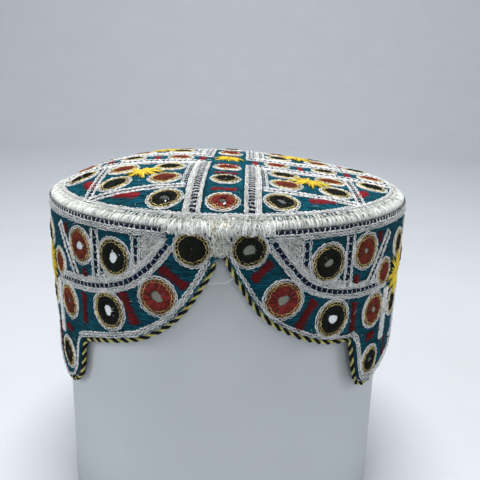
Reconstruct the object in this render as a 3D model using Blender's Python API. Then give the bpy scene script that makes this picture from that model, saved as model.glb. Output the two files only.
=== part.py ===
"""A sindhi cap resting on a plain cylindrical stand.

Lengths are millimetres in the tables below and metres in the scene, +Z up, with the floor at
z = 0. The cap's pieces are made in the cap's own frame: its origin is on the cap's axis at the
seam between band and crown, and its front is at -Y. On the band a place is (along, height), the
distance along the wall from the front and the height above the seam. On the crown it is (x, y).
"""
import math

import bmesh
import bpy
from mathutils import Vector

MM = 0.001
SHARP_EDGE_DEG = 35
MERGE_DISTANCE = 1e-4

# Stand
STAND_RADIUS = 85.2
STAND_WALL = 3.0
STAND_HEIGHT = 164.0
STAND_OFFSET_X = -1.1
STAND_SIDES = 60

# Cap, placed on the stand
SEAM_HEIGHT = 164.0
CAP_TURN_DEG = -1.75
CAP_RADIUS = 91.5
CAP_GIRTH = 2 * math.pi * CAP_RADIUS
BAND_TAPER = 0.02
CLOTH = 2.2
GAP = 0.3

# Crown: height of the dome above the seam
CROWN_RADIUS = 85.0
CROWN_RIM = 3.3
CROWN_RISE = 11.1
CROWN_POWER = 3.7
CROWN_END_RISE = 1.1
CROWN_TILT = -0.7
RIDGE_SLOPE = 0.05
RIDGE_SOFTNESS = 8.0
LEAN_SLOPE = 0.08
CROWN_CLOTH = 2.0
CROWN_SIDES = 40
CROWN_RINGS = (0.14, 0.30, 0.47, 0.64, 0.79, 0.91, 1.0)

# Edge roll: radius and height of its outer face, from the band to the crown
ROLL_CLOTH = 1.8
ROLL_SIDES = 56
ROLL_PROFILE = (
    (91.5, 0.5),
    (91.4, 1.2),
    (90.4, 2.1),
    (88.3, 2.8),
)
ROLL_TOP_RADIUS = 85.5
ROLL_TOP_LIFT = 0.1

# Hem, as the line of the cord: (along, height)
HEM_RIGHT = (
    (1.6, -9.9),
    (3.8, -14.5),
    (9.8, -25.0),
    (17.8, -36.0),
    (27.8, -43.5),
    (42.8, -50.5),
    (55.0, -53.6),
    (63.3, -54.9),
    (66.0, -59.5),
    (69.3, -71.0),
    (72.2, -78.3),
    (77.0, -81.7),
    (86.8, -81.6),
    (99.8, -78.0),
    (125.0, -71.0),
    (165.0, -66.0),
    (225.0, -64.0),
    (287.4, -63.5),
)
HEM_LEFT = (
    (-2.2, -13.2),
    (-5.4, -20.0),
    (-12.2, -31.0),
    (-17.4, -37.5),
    (-23.2, -43.0),
    (-29.2, -47.0),
    (-37.4, -51.0),
    (-57.2, -56.5),
    (-70.4, -60.5),
    (-73.2, -63.8),
    (-75.6, -74.0),
    (-79.4, -82.0),
    (-87.2, -87.7),
    (-97.0, -88.6),
    (-113.0, -83.0),
    (-135.0, -73.0),
    (-170.0, -66.5),
    (-225.0, -64.0),
)
HEM_STEPS = 3
HEM_LEAST_STEP = 0.4
CORD_RADIUS = 1.3
BAND_TOP = -0.4
BAND_ROWS = (0.0, 0.5, 1.0)
BAND_END_GAP = 0.4
NOTCH_TOP_RIGHT = -6.4
NOTCH_TOP_LEFT = -9.4

# Bar tack over the notch
TACK_ALONG = (-3.0, 3.2)
TACK_HEIGHT = (-8.6, -0.6)
TACK_THICKNESS = 1.3
TACK_STEPS = 4

# Mirror rosettes
TRIM_GAP = 0.45
ROSETTE_SIDES = 10
ROSETTE_THICKNESS = 1.0
ROSETTE_EDGE = 0.6
ROSETTE_SHOULDER = 0.5
MIRROR_SHARE = 0.40
MIRROR_SINK = 0.35

# Name, thread, along, height, radius
BAND_ROSETTES = (
    ("apex_left", "black", -11.3, -7.2, 7.8),
    ("apex_right", "black", 11.4, -7.0, 7.7),
    ("scallop_left", "red", -26.2, -29.0, 8.8),
    ("scallop_right", "red", 26.3, -29.0, 8.8),
    ("lower_black_left", "black", -51.2, -40.0, 9.2),
    ("lower_black_right", "black", 50.8, -41.0, 9.0),
    ("lower_rust_left", "rust", -82.2, -44.0, 8.8),
    ("lower_rust_right", "rust", 78.8, -43.5, 8.8),
    ("tip_left", "black", -88.5, -73.0, 8.0),
    ("tip_right", "black", 80.2, -69.5, 7.4),
    ("upper_black_left", "black", -46.7, -15.0, 8.8),
    ("upper_black_right", "black", 46.3, -15.0, 8.8),
    ("upper_rust_left", "rust", -68.2, -14.0, 8.6),
    ("upper_rust_right", "rust", 67.8, -13.0, 8.4),
)

# Plain repeat round the back, centred behind. Row, count, height
BACK_SPACING = 46.5
BACK_ROWS = (
    ("upper", 7, -15.0),
    ("lower", 6, -43.0),
)
BACK_RADIUS = 8.8

# Crown pattern: a cross of two bands with a square in each quarter
RIM_ROSETTE_AT = (24.5, 71.2)
RIM_ROSETTE_RADIUS = 7.6
# Name, thread, distance from the centre, radius
ARM_ROSETTES = (
    ("outer", "red", 75.2, 7.0),
    ("middle", "black", 50.5, 6.6),
    ("inner", "red", 25.5, 6.6),
)
SQUARE_CENTRE = 38.8
CROWN_LOBES = ((11.3, 10.4), (-11.3, 10.4), (-11.3, -10.4), (11.3, -10.4))
CROWN_LOBE_RADIUS = 7.4
CROWN_WAIST = 5.0
STAR_CENTRE_Y = 4.0
STAR_POINTS = 8
STAR_RADIUS = 8.0
STAR_WAIST = 4.2

# Side medallions: name, along, height
SIDE_MEDALLIONS = (
    ("left", -107.0, -31.5),
    ("right", 102.0, -31.0),
)
SIDE_LOBES = ((0.0, 15.0), (-16.5, 4.5), (0.0, -15.5), (16.5, 4.5))
SIDE_LOBE_RADIUS = 6.9
SIDE_WAIST = 5.5

MEDALLION_THICKNESS = 1.0
MEDALLION_RINGS = (0.33, 0.67, 1.0)
LOBE_ANGLES = (-108, -65, -22, 22, 65, 108)

# Finish name: colour, roughness, metallic
FINISHES = {
    "teal_cloth": ((0.01, 0.11, 0.15), 0.85, 0.0),
    "white_yarn": ((0.74, 0.75, 0.72), 0.8, 0.0),
    "hem_twist": ((0.25, 0.24, 0.08), 0.75, 0.0),
    "cream_thread": ((0.70, 0.68, 0.58), 0.8, 0.0),
    "black_thread": ((0.012, 0.016, 0.010), 0.7, 0.0),
    "red_thread": ((0.33, 0.02, 0.03), 0.65, 0.0),
    "rust_thread": ((0.36, 0.07, 0.02), 0.65, 0.0),
    "yellow_thread": ((0.72, 0.46, 0.05), 0.65, 0.0),
    "stand_white": ((0.72, 0.74, 0.76), 0.55, 0.0),
}


def clear_scene():
    for item in list(bpy.data.objects):
        bpy.data.objects.remove(item, do_unlink=True)


def finish(name):
    """The material of that name, made the first time that it is asked for."""
    material = bpy.data.materials.get(name)
    if material:
        return material
    colour, roughness, metallic = FINISHES[name]
    material = bpy.data.materials.new(name)
    material.use_nodes = True
    shader = material.node_tree.nodes["Principled BSDF"]
    shader.inputs["Base Color"].default_value = (*colour, 1.0)
    shader.inputs["Roughness"].default_value = roughness
    shader.inputs["Metallic"].default_value = metallic
    return material


def crown_height(x, y):
    """Height of the crown's upper face above the seam."""
    share = min(math.hypot(x, y) / CROWN_RADIUS, 1.0)
    dome = CROWN_RISE * (1 - share**CROWN_POWER)
    rim = CROWN_RIM + CROWN_END_RISE * (y / CROWN_RADIUS) ** 2 - CROWN_TILT * x / CROWN_RADIUS
    ridge = RIDGE_SLOPE * (math.hypot(x, RIDGE_SOFTNESS) - RIDGE_SOFTNESS)
    return rim + dome - (ridge + LEAN_SLOPE * x) * (1 - share**2)


def on_crown(x, y, out):
    """A place on the crown, raised by out along the surface's normal."""
    step = 0.5
    slope_x = (crown_height(x + step, y) - crown_height(x - step, y)) / (2 * step)
    slope_y = (crown_height(x, y + step) - crown_height(x, y - step)) / (2 * step)
    normal = Vector((-slope_x, -slope_y, 1.0)).normalized()
    return Vector((x, y, crown_height(x, y))) + normal * out


def on_band(along, height, out):
    """A place on the band's outer face, raised by out."""
    angle = along / CAP_RADIUS
    radius = CAP_RADIUS + BAND_TAPER * min(height, 0.0) + out
    return Vector((radius * math.sin(angle), -radius * math.cos(angle), height))


def smooth_line(points, steps):
    """A smooth curve through the points, with so many steps from each to the next."""
    line = []
    last = len(points) - 1
    for index in range(last):
        before = Vector(points[max(index - 1, 0)])
        start = Vector(points[index])
        end = Vector(points[index + 1])
        after = Vector(points[min(index + 2, last)])
        reach = (end - start).length / 3
        leave = (end - before).normalized() * reach
        arrive = (after - start).normalized() * reach
        for step in range(steps):
            t = step / steps
            line.append(
                start * (1 - t) ** 3
                + (start + leave) * 3 * t * (1 - t) ** 2
                + (end - arrive) * 3 * t * t * (1 - t)
                + end * t**3
            )
    line.append(Vector(points[last]))
    return line


def hem_line():
    """The cord's line, from the right of the notch round the back to the left of the notch."""
    behind = [(along + CAP_GIRTH, height) for along, height in reversed(HEM_LEFT)]
    return smooth_line(list(HEM_RIGHT) + behind, HEM_STEPS)


def cloth_edge(line):
    """The band's lower edge: the cord's line moved up into the cloth, clear of the cord."""
    shift = CORD_RADIUS + GAP
    edge = [(BAND_END_GAP, NOTCH_TOP_RIGHT)]
    for index, point in enumerate(line):
        before = line[max(index - 1, 0)]
        after = line[min(index + 1, len(line) - 1)]
        along_hem = (after - before).normalized()
        place = (point.x - along_hem.y * shift, point.y + along_hem.x * shift)
        if place[0] > edge[-1][0] + HEM_LEAST_STEP:
            edge.append(place)
    end = CAP_GIRTH - BAND_END_GAP
    edge = [place for place in edge if place[0] < end - HEM_LEAST_STEP]
    edge.append((end, NOTCH_TOP_LEFT))
    return edge


def add_object(name, data, finish_name, frame):
    item = bpy.data.objects.new(name, data)
    bpy.context.scene.collection.objects.link(item)
    data.materials.append(finish(finish_name))
    item.parent = frame
    return item


def add_mesh(name, mesh, finish_name, frame):
    """An object from a bmesh in millimetres, in its frame's coordinates."""
    bmesh.ops.scale(mesh, vec=(MM, MM, MM), verts=mesh.verts)
    data = bpy.data.meshes.new(name)
    mesh.to_mesh(data)
    mesh.free()
    data.shade_smooth()
    return add_object(name, data, finish_name, frame)


def add_sheet(name, rows, wraps, thickness, finish_name, frame):
    """A cloth sheet from rows of points, thickened inwards from its outer face."""
    mesh = bmesh.new()
    lines = [[mesh.verts.new(point) for point in row] for row in rows]
    for lower, upper in zip(lines, lines[1:]):
        count = len(lower)
        for index in range(count if wraps else count - 1):
            other = (index + 1) % count
            mesh.faces.new((lower[index], lower[other], upper[other], upper[index]))
    return finish_sheet(name, mesh, thickness, finish_name, frame)


def add_disc_sheet(name, centre, rings, thickness, finish_name, frame):
    """A cloth sheet from a centre and rings of points around it, thickened inwards."""
    mesh = bmesh.new()
    middle = mesh.verts.new(centre)
    lines = [[mesh.verts.new(point) for point in ring] for ring in rings]
    count = len(lines[0])
    for index in range(count):
        mesh.faces.new((middle, lines[0][index], lines[0][(index + 1) % count]))
    for inner, outer in zip(lines, lines[1:]):
        for index in range(count):
            other = (index + 1) % count
            mesh.faces.new((inner[index], outer[index], outer[other], inner[other]))
    return finish_sheet(name, mesh, thickness, finish_name, frame)


def finish_sheet(name, mesh, thickness, finish_name, frame):
    item = add_mesh(name, mesh, finish_name, frame)
    solid = item.modifiers.new("cloth", "SOLIDIFY")
    solid.thickness = thickness * MM
    solid.offset = -1.0
    return item


def make_stand():
    """An open tube, turned from its wall's section."""
    inner = STAND_RADIUS - STAND_WALL
    section = ((inner, 0.0), (STAND_RADIUS, 0.0), (STAND_RADIUS, STAND_HEIGHT), (inner, STAND_HEIGHT))
    mesh = bmesh.new()
    corners = [mesh.verts.new((radius, 0.0, height)) for radius, height in section]
    edges = [mesh.edges.new((corners[i], corners[(i + 1) % 4])) for i in range(4)]
    turned_faces(mesh, corners + edges, STAND_SIDES)
    stand = add_mesh("display_stand", mesh, "stand_white", None)
    stand.data.set_sharp_from_angle(angle=math.radians(SHARP_EDGE_DEG))
    stand.location.x = STAND_OFFSET_X * MM


def turned_faces(mesh, section, sides):
    """Turns the section once round Z and closes the surface."""
    bmesh.ops.spin(
        mesh,
        geom=section,
        cent=(0, 0, 0),
        axis=(0, 0, 1),
        angle=2 * math.pi,
        steps=sides,
        use_merge=True,
    )
    bmesh.ops.remove_doubles(mesh, verts=mesh.verts, dist=MERGE_DISTANCE)
    bmesh.ops.recalc_face_normals(mesh, faces=mesh.faces)


def make_crown(frame):
    rings = []
    for share in CROWN_RINGS:
        ring = []
        for side in range(CROWN_SIDES):
            angle = 2 * math.pi * side / CROWN_SIDES
            x = CROWN_RADIUS * share * math.cos(angle)
            y = CROWN_RADIUS * share * math.sin(angle)
            ring.append(on_crown(x, y, 0.0))
        rings.append(ring)
    add_disc_sheet("crown_panel", on_crown(0.0, 0.0, 0.0), rings, CROWN_CLOTH, "teal_cloth", frame)


def make_edge_roll(frame):
    rows = [[] for _ in range(len(ROLL_PROFILE) + 1)]
    for side in range(ROLL_SIDES):
        angle = 2 * math.pi * side / ROLL_SIDES
        direction = Vector((math.cos(angle), math.sin(angle), 0.0))
        rim = crown_height(CROWN_RADIUS * direction.x, CROWN_RADIUS * direction.y)
        section = [(r, z * rim / CROWN_RIM) for r, z in ROLL_PROFILE]
        section.append((ROLL_TOP_RADIUS, rim + ROLL_TOP_LIFT))
        for row, (radius, height) in zip(rows, section):
            row.append(direction * radius + Vector((0.0, 0.0, height)))
    add_sheet("crown_edge_roll", rows, True, ROLL_CLOTH, "white_yarn", frame)


def make_band(frame, line):
    edge = cloth_edge(line)
    rows = []
    for share in reversed(BAND_ROWS):
        rows.append([on_band(along, BAND_TOP + (hem - BAND_TOP) * share, 0.0) for along, hem in edge])
    add_sheet("side_band", rows, False, CLOTH, "teal_cloth", frame)


def make_hem_cord(frame, line):
    curve = bpy.data.curves.new("hem_cord", "CURVE")
    curve.dimensions = "3D"
    curve.bevel_depth = CORD_RADIUS * MM
    curve.bevel_resolution = 1
    curve.use_fill_caps = True
    spline = curve.splines.new("POLY")
    spline.points.add(len(line) - 1)
    for point, place in zip(spline.points, line):
        point.co = (*on_band(place.x, place.y, -CLOTH / 2) * MM, 1.0)
    add_object("hem_cord", curve, "hem_twist", frame)


def make_bar_tack(frame):
    rows = []
    for row in range(TACK_STEPS + 1):
        height = TACK_HEIGHT[0] + (TACK_HEIGHT[1] - TACK_HEIGHT[0]) * row / TACK_STEPS
        line = []
        for column in range(TACK_STEPS + 1):
            along = TACK_ALONG[0] + (TACK_ALONG[1] - TACK_ALONG[0]) * column / TACK_STEPS
            line.append(on_band(along, height, GAP + TACK_THICKNESS))
        rows.append(line)
    add_sheet("front_bar_tack", rows, False, TACK_THICKNESS, "cream_thread", frame)


def make_rosette(name, thread, place, radius, frame):
    """A thread ring with a sunk round mirror. place(right, up, out) puts it on the cloth."""
    mirror = radius * MIRROR_SHARE
    top = ROSETTE_THICKNESS
    floor = top - MIRROR_SINK
    shoulder = radius - ROSETTE_SHOULDER
    rim = ((0, 0), (radius, 0), (radius, ROSETTE_EDGE), (shoulder, top))
    well = ((mirror, top), (mirror, floor), (0, floor))
    mesh = bmesh.new()
    points = [mesh.verts.new((r, 0.0, z)) for r, z in rim + well]
    edges = [mesh.edges.new(pair) for pair in zip(points, points[1:])]
    turned_faces(mesh, points + edges, ROSETTE_SIDES)
    for vert in mesh.verts:
        vert.co = place(vert.co.x, vert.co.y, TRIM_GAP + vert.co.z)
    rosette = add_mesh(name, mesh, thread + "_thread", frame)
    rosette.data.set_sharp_from_angle(angle=math.radians(SHARP_EDGE_DEG))


def band_place(along, height):
    return lambda right, up, out: on_band(along + right, height + up, out)


def crown_place(x, y):
    return lambda right, up, out: on_crown(x + right, y + up, out)


def make_band_rosettes(frame):
    for name, thread, along, height, radius in BAND_ROSETTES:
        make_rosette("band_rosette_" + name, thread, band_place(along, height), radius, frame)
    threads = ("black", "rust")
    for row, count, height in BACK_ROWS:
        first = (CAP_GIRTH - BACK_SPACING * (count - 1)) / 2
        for index in range(count):
            place = band_place(first + BACK_SPACING * index, height)
            name = f"band_rosette_back_{row}_{index + 1}"
            make_rosette(name, threads[index % 2], place, BACK_RADIUS, frame)


def make_crown_rosettes(frame):
    short, far = RIM_ROSETTE_AT
    signs = ((-1, -1), (-1, 1), (1, -1), (1, 1))
    spots = [(side * a, end * b) for a, b in ((short, far), (far, short)) for side, end in signs]
    for index, (x, y) in enumerate(spots):
        name = f"crown_rosette_rim_{index + 1}"
        make_rosette(name, "black", crown_place(x, y), RIM_ROSETTE_RADIUS, frame)
    arms = {"front": (0, -1), "back": (0, 1), "left": (-1, 0), "right": (1, 0)}
    for arm, (x, y) in arms.items():
        for position, thread, distance, radius in ARM_ROSETTES:
            name = f"crown_rosette_{arm}_{position}"
            make_rosette(name, thread, crown_place(x * distance, y * distance), radius, frame)


def lobed_outline(lobes, lobe_radius, waist):
    """The outline round a star's centre: an arc round each lobe, drawn in to the waist between."""
    ordered = sorted(lobes, key=lambda lobe: math.atan2(lobe[1], lobe[0]))
    angles = [math.atan2(y, x) for x, y in ordered]
    outline = []
    for index, (x, y) in enumerate(ordered):
        for degrees in LOBE_ANGLES:
            angle = angles[index] + math.radians(degrees)
            outline.append((x + lobe_radius * math.cos(angle), y + lobe_radius * math.sin(angle)))
        following = angles[(index + 1) % len(angles)]
        between = (angles[index] + following) / 2
        if following < angles[index]:
            between += math.pi
        outline.append((waist * math.cos(between), waist * math.sin(between)))
    return outline


def make_plate(name, outline, place, finish_name, frame):
    out = TRIM_GAP + MEDALLION_THICKNESS
    rings = [[place(share * x, share * y, out) for x, y in outline] for share in MEDALLION_RINGS]
    add_disc_sheet(name, place(0.0, 0.0, out), rings, MEDALLION_THICKNESS, finish_name, frame)


def make_medallions(frame):
    outline = lobed_outline(CROWN_LOBES, CROWN_LOBE_RADIUS, CROWN_WAIST)
    quarters = ((-1, -1), (1, -1), (1, 1), (-1, 1))
    for index, (side, end) in enumerate(quarters):
        place = crown_place(side * SQUARE_CENTRE, end * SQUARE_CENTRE)
        make_plate(f"crown_medallion_{index + 1}", outline, place, "yellow_thread", frame)
    outline = lobed_outline(SIDE_LOBES, SIDE_LOBE_RADIUS, SIDE_WAIST)
    for side, along, height in SIDE_MEDALLIONS:
        make_plate("side_medallion_" + side, outline, band_place(along, height), "yellow_thread", frame)
    star = []
    for index in range(2 * STAR_POINTS):
        radius = STAR_WAIST if index % 2 else STAR_RADIUS
        angle = math.pi * index / STAR_POINTS
        star.append((radius * math.cos(angle), radius * math.sin(angle)))
    make_plate("centre_star", star, crown_place(0.0, STAR_CENTRE_Y), "yellow_thread", frame)


def main():
    clear_scene()
    frame = bpy.data.objects.new("cap_frame", None)
    bpy.context.scene.collection.objects.link(frame)
    frame.location.z = SEAM_HEIGHT * MM
    frame.rotation_euler.z = math.radians(CAP_TURN_DEG)
    line = hem_line()
    make_stand()
    make_crown(frame)
    make_edge_roll(frame)
    make_band(frame, line)
    make_hem_cord(frame, line)
    make_bar_tack(frame)
    make_band_rosettes(frame)
    make_crown_rosettes(frame)
    make_medallions(frame)


main()
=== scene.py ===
"""The looks of the sindhi cap: its cloth, stitches, mirrors and cord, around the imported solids.

Tables and arguments are in millimetres, and the finished meshes are in metres. The cap's frame is
the solids' own: its origin is on the cap's axis at the seam between band and crown, with the front
at -Y. A place on the band is (along, height), a place on the crown is (x, y), and a place on the
edge roll is (along, climb), the distance up its face. out is the distance off the cloth.
"""
import math

import bpy
import numpy as np
from mathutils import Matrix, Vector


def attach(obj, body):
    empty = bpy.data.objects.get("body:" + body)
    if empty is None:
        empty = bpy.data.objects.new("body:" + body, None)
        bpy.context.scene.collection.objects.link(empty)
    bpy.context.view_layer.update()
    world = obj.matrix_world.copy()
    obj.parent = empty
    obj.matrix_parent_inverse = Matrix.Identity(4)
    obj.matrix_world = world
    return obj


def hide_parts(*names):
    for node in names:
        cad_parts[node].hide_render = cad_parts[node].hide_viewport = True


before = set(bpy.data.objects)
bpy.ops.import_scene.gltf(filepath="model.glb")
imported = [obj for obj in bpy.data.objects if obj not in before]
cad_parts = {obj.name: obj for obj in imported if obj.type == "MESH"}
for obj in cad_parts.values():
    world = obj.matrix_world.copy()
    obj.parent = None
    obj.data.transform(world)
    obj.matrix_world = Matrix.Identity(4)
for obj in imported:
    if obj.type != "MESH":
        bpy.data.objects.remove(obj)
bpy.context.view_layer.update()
rng = np.random.default_rng(7)

MM = 0.001

# The cap's place on the stand and its surfaces, as in the solids
SEAM_HEIGHT = 164.0
CAP_TURN = math.radians(-1.75)
CAP_RADIUS = 91.5
CAP_GIRTH = 2 * math.pi * CAP_RADIUS
BAND_TAPER = 0.02
BAND_TOP = -0.4
BAND_CLOTH = 2.2
CROWN_RADIUS = 85.0
CROWN_RIM = 3.3
CROWN_RISE = 11.1
CROWN_POWER = 3.7
CROWN_END_RISE = 1.1
CROWN_TILT = -0.7
RIDGE_SLOPE = 0.05
RIDGE_SOFTNESS = 8.0
LEAN_SLOPE = 0.08
CROWN_CLOTH = 2.0

# Face of the edge roll: radius, height
ROLL_FACE = (
    (91.5, 0.5),
    (91.4, 1.2),
    (90.4, 2.1),
    (88.3, 2.8),
    (85.5, 3.4),
)
ROLL_LEAN_DEG = 75.0
# How much flatter the roll is at its two sides than at the front, and the shares of the radius,
# out to a side, between which that comes in
ROLL_SLIM = 1.7
ROLL_SLIM_SHARES = (0.35, 0.95)
# Depth of the gaps between the teeth at the roll's upper edge
TOOTH = 3.0
# Thickness of the roll's soft core
ROLL_CORE = 2.0

# Line of the hem cord: along, height
HEM_RIGHT = (
    (1.6, -9.9),
    (3.8, -14.5),
    (9.8, -25.0),
    (17.8, -36.0),
    (27.8, -43.5),
    (42.8, -50.5),
    (55.0, -53.6),
    (63.3, -54.9),
    (66.0, -59.5),
    (69.3, -71.0),
    (72.2, -78.3),
    (77.0, -81.7),
    (86.8, -81.6),
    (99.8, -78.0),
    (125.0, -71.0),
    (165.0, -66.0),
    (225.0, -64.0),
    (287.4, -63.5),
)
HEM_LEFT = (
    (-2.2, -13.2),
    (-5.4, -20.0),
    (-12.2, -31.0),
    (-17.4, -37.5),
    (-23.2, -43.0),
    (-29.2, -47.0),
    (-37.4, -51.0),
    (-57.2, -56.5),
    (-70.4, -60.5),
    (-73.2, -63.8),
    (-75.6, -74.0),
    (-79.4, -82.0),
    (-87.2, -87.7),
    (-97.0, -88.6),
    (-113.0, -83.0),
    (-135.0, -73.0),
    (-170.0, -66.5),
    (-225.0, -64.0),
)
CORD_RADIUS = 1.3
CORD_PITCH = 5.6
# The cord's plies: thread and half thickness of a strand. Then the distances of a ply from the
# cord's middle and of a strand from its ply's, and the strands' turns for each turn of the plies
CORD_PLIES = (
    ("black", 0.47),
    ("straw", 0.29),
)
PLY_REACH = 0.54
STRAND_REACH = 0.34
STRAND_TURNS = -1.6
# Bare edge above the cord's line, and the height of the cloth's lower edge at the band's two ends
HEM_MARGIN = 1.9
NOTCH_TOP_RIGHT = -6.4
NOTCH_TOP_LEFT = -9.4

# Stand: an open tube with its edges bevelled
STAND_RADIUS = 85.2
STAND_WALL = 3.0
STAND_HEIGHT = 164.0
STAND_OFFSET_X = -1.1
STAND_EDGE = 0.6


def colour(red, green, blue):
    """A screen colour, 0 to 255, as Blender's linear numbers."""
    shares = (value / 255 for value in (red, green, blue))
    return tuple(s / 12.92 if s <= 0.04045 else ((s + 0.055) / 1.055) ** 2.4 for s in shares)


def crown_height(x, y):
    share = np.minimum(np.hypot(x, y) / CROWN_RADIUS, 1.0)
    dome = CROWN_RISE * (1 - share**CROWN_POWER)
    rim = CROWN_RIM + CROWN_END_RISE * (y / CROWN_RADIUS) ** 2 - CROWN_TILT * x / CROWN_RADIUS
    ridge = RIDGE_SLOPE * (np.hypot(x, RIDGE_SOFTNESS) - RIDGE_SOFTNESS)
    return rim + dome - (ridge + LEAN_SLOPE * x) * (1 - share**2)


def crown_at(x, y, out):
    step = 0.5
    slope_x = (crown_height(x + step, y) - crown_height(x - step, y)) / (2 * step)
    slope_y = (crown_height(x, y + step) - crown_height(x, y - step)) / (2 * step)
    normal = unit(np.stack((-slope_x, -slope_y, np.ones_like(slope_x)), -1))
    return np.stack((x, y, crown_height(x, y)), -1) + normal * np.asarray(out)[..., None]


def band_at(along, height, out):
    angle = along / CAP_RADIUS
    radius = CAP_RADIUS + BAND_TAPER * np.minimum(height, 0.0) + out
    return np.stack((radius * np.sin(angle), -radius * np.cos(angle), height + 0 * radius), -1)


def roll_at(along, climb, out):
    angle = along / CAP_RADIUS
    right, ahead = np.sin(angle), -np.cos(angle)
    lean = np.radians(np.interp(climb, (0.0, ROLL_CLIMB[-1]), (0.0, ROLL_LEAN_DEG)))
    lift = crown_height(CROWN_RADIUS * right, CROWN_RADIUS * ahead) / CROWN_RIM
    radius = np.interp(climb, ROLL_CLIMB, [r for r, z in ROLL_FACE]) + out * np.cos(lean)
    side = np.interp(np.abs(right), ROLL_SLIM_SHARES, (0.0, 1.0))
    radius = radius - ROLL_SLIM * side * np.sin(np.pi * np.clip(climb / ROLL_CLIMB[-1], 0.0, 1.0))
    height = np.interp(climb, ROLL_CLIMB, [z for r, z in ROLL_FACE]) * lift + out * np.sin(lean)
    return np.stack((radius * right, radius * ahead, height), -1)


def seam_at(along, climb, out):
    """Up the edge roll where climb is above zero, and down the band where it is below."""
    on_roll = roll_at(along, np.maximum(climb, 0.0), out)
    return np.where((climb > 0.0)[..., None], on_roll, band_at(along, np.minimum(climb, 0.0), out))


def unit(vectors):
    return vectors / np.maximum(np.linalg.norm(vectors, axis=-1, keepdims=True), 1e-9)


def running_length(points):
    """Distance from the first point of a line to each of its points."""
    points = np.asarray(points, float)
    return np.concatenate(([0.0], np.cumsum(np.linalg.norm(np.diff(points, axis=0), axis=1))))


ROLL_CLIMB = running_length(ROLL_FACE)


def smooth_line(points, steps):
    """A smooth curve through the points, with so many steps from each to the next."""
    points = np.asarray(points, float)
    last = len(points) - 1
    line = []
    for index in range(last):
        before = points[max(index - 1, 0)]
        start, end = points[index], points[index + 1]
        after = points[min(index + 2, last)]
        reach = np.linalg.norm(end - start) / 3
        leave = unit(end - before) * reach
        arrive = unit(after - start) * reach
        for step in range(steps):
            t = step / steps
            line.append(
                start * (1 - t) ** 3
                + (start + leave) * 3 * t * (1 - t) ** 2
                + (end - arrive) * 3 * t * t * (1 - t)
                + end * t**3
            )
    line.append(points[last])
    return np.array(line)


def evenly(line, spacing):
    """The line again, as points the same distance apart."""
    line = np.asarray(line, float)
    length = running_length(line)
    count = max(round(length[-1] / spacing), 1)
    at = np.linspace(0.0, length[-1], count + 1)
    return np.stack([np.interp(at, length, line[:, axis]) for axis in range(line.shape[1])], -1)


def beside(line, distance):
    """The line moved to its left by that distance."""
    line = np.asarray(line, float)
    direction = unit(np.gradient(line, axis=0))
    return line + np.stack((-direction[:, 1], direction[:, 0]), -1) * distance


HEM = smooth_line(list(HEM_RIGHT) + [(a + CAP_GIRTH, h) for a, h in reversed(HEM_LEFT)], 6)


def hem_height(along):
    """Height of the cord's line under a place on the band."""
    return np.interp(np.mod(along, CAP_GIRTH), HEM[:, 0], HEM[:, 1])


def to_world(points):
    turn = np.array(Matrix.Rotation(CAP_TURN, 3, "Z"))
    return (points.reshape(-1, 3) @ turn.T + (0.0, 0.0, SEAM_HEIGHT)) * MM


# Materials


def new_material(name, roughness):
    """A material with its node tree, its shader and the piece's own coordinates."""
    material = bpy.data.materials.new(name)
    material.use_nodes = True
    tree = material.node_tree
    shader = tree.nodes["Principled BSDF"]
    shader.inputs["Roughness"].default_value = roughness
    return material, tree, shader, tree.nodes.new("ShaderNodeTexCoord").outputs["Object"]


def noise(tree, place, scale, detail=2.0):
    texture = tree.nodes.new("ShaderNodeTexNoise")
    texture.inputs["Scale"].default_value = scale
    texture.inputs["Detail"].default_value = detail
    tree.links.new(place, texture.inputs["Vector"])
    return texture.outputs["Fac"]


def reckon(tree, operation, *values):
    """The result of an operation on numbers and other nodes' outputs."""
    node = tree.nodes.new("ShaderNodeMath")
    node.operation = operation
    for socket, value in zip(node.inputs, values):
        if isinstance(value, float):
            socket.default_value = value
        else:
            tree.links.new(value, socket)
    return node.outputs[0]


def tint(tree, shader, share, dark, light):
    """Colours the shader from dark to light as the share goes from 0 to 1."""
    blend = tree.nodes.new("ShaderNodeMix")
    blend.data_type = "RGBA"
    blend.inputs["A"].default_value = (*colour(*dark), 1.0)
    blend.inputs["B"].default_value = (*colour(*light), 1.0)
    tree.links.new(share, blend.inputs["Factor"])
    tree.links.new(blend.outputs["Result"], shader.inputs["Base Color"])


def roughen(tree, shader, height, strength, depth):
    bump = tree.nodes.new("ShaderNodeBump")
    bump.inputs["Strength"].default_value = strength
    bump.inputs["Distance"].default_value = depth * MM
    tree.links.new(height, bump.inputs["Height"])
    tree.links.new(bump.outputs["Normal"], shader.inputs["Normal"])


def thread_material(name, dark, light, sheen):
    """Spun thread: each strand has a shade of its own, with fine fibres and soft wear over it."""
    material, tree, shader, place = new_material(name, 0.7)
    shader.inputs["Sheen Weight"].default_value = sheen
    shader.inputs["Specular IOR Level"].default_value = 0.15
    strand = tree.nodes.new("ShaderNodeAttribute")
    strand.attribute_name = "strand"
    fibres = noise(tree, place, 2600.0, 3.0)
    wear = noise(tree, place, 90.0)
    worn = reckon(tree, "MULTIPLY_ADD", strand.outputs["Fac"], 1.1, wear)
    both = reckon(tree, "ADD", worn, fibres)
    tint(tree, shader, reckon(tree, "MULTIPLY_ADD", both, 0.5, -0.32), dark, light)
    roughen(tree, shader, fibres, 0.35, 0.1)
    return material


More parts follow.
